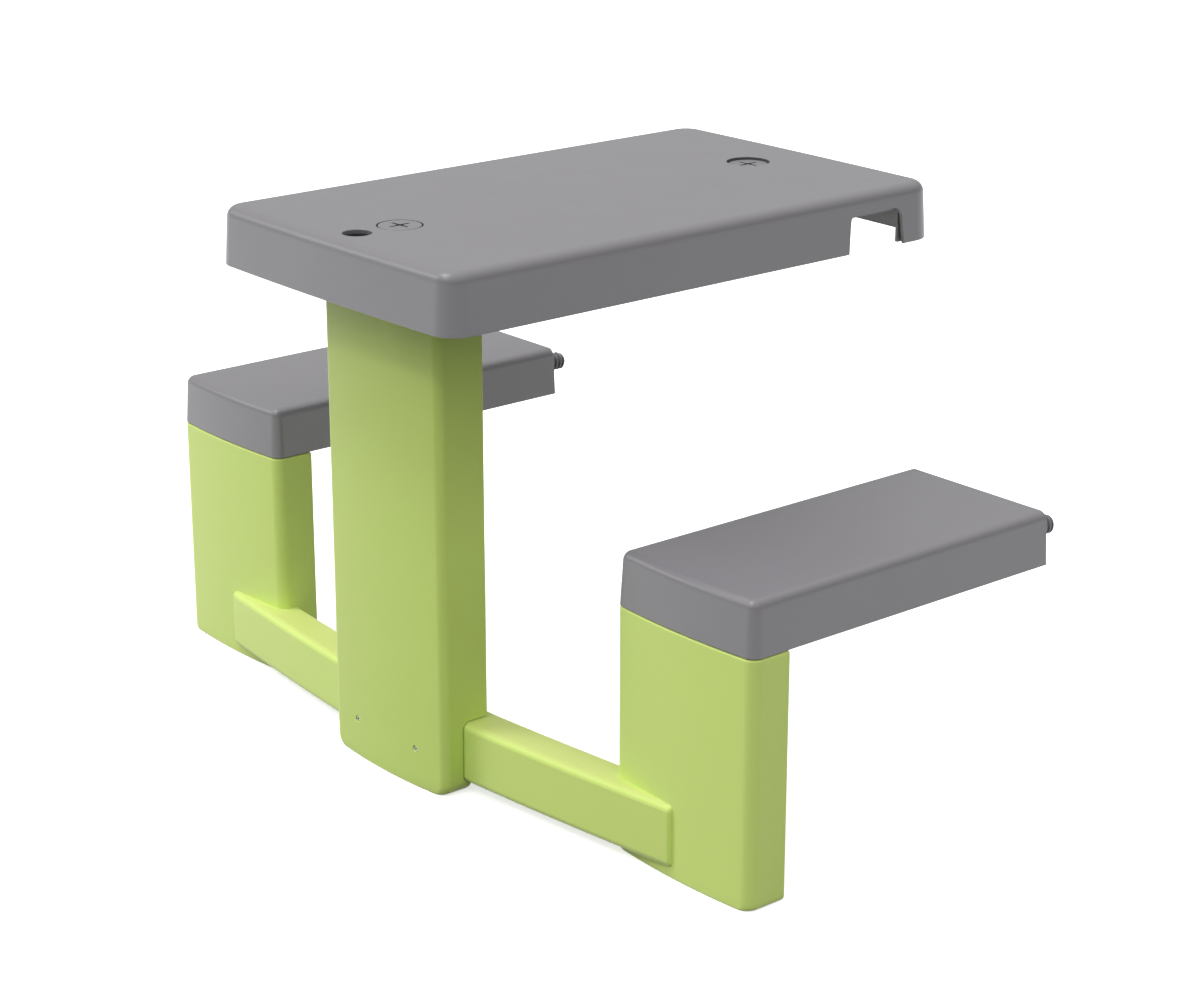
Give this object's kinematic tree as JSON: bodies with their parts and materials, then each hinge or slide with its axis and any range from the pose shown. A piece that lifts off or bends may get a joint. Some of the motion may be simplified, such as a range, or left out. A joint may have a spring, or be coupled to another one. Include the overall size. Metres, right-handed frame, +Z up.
{
  "type": "child picnic table module",
  "caption": "Child's plastic picnic table module: table top on a centre leg, crossbar frame with two bench seats, and a slot and screws for hanging it on a playhouse wall.",
  "frame": {"origin": "on the face of the wall that the seats butt against, at floor level, on the table's centre line", "axes": "+X across the two benches, +Y into the wall, +Z up"},
  "size_m": [0.7452, 0.5036, 0.4468],
  "materials": {
    "grey_plastic": "fine satin moulding",
    "green_plastic": "fine satin moulding",
    "screw_plastic": "satin moulding",
    "small_screw_steel": "zinc plated"
  },
  "bodies": {
    "module": {"table_top": "grey_plastic", "centre_leg": "green_plastic", "bench_frame": "green_plastic", "seat_left": "grey_plastic", "seat_right": "grey_plastic", "leg_screw": "screw_plastic", "crossbar_screws": "small_screw_steel"},
    "ledge_screw": {"ledge_screw": "screw_plastic"},
    "wall_screw_left": {"wall_screw_left": "screw_plastic"},
    "wall_screw_right": {"wall_screw_right": "screw_plastic"}
  },
  "joints": [
    {"name": "ledge_screw_turn", "type": "hinge", "parent": "module", "child": "ledge_screw", "pos_m": [0, 0.0285, 0.4268], "axis": [0, 0, 1], "continuous": true},
    {"name": "wall_screw_left_turn", "type": "hinge", "parent": "module", "child": "wall_screw_left", "pos_m": [-0.2427, 0, 0.2216], "axis": [0, 1, 0], "continuous": true},
    {"name": "wall_screw_right_turn", "type": "hinge", "parent": "module", "child": "wall_screw_right", "pos_m": [0.3527, 0, 0.2216], "axis": [0, 1, 0], "continuous": true}
  ]
}
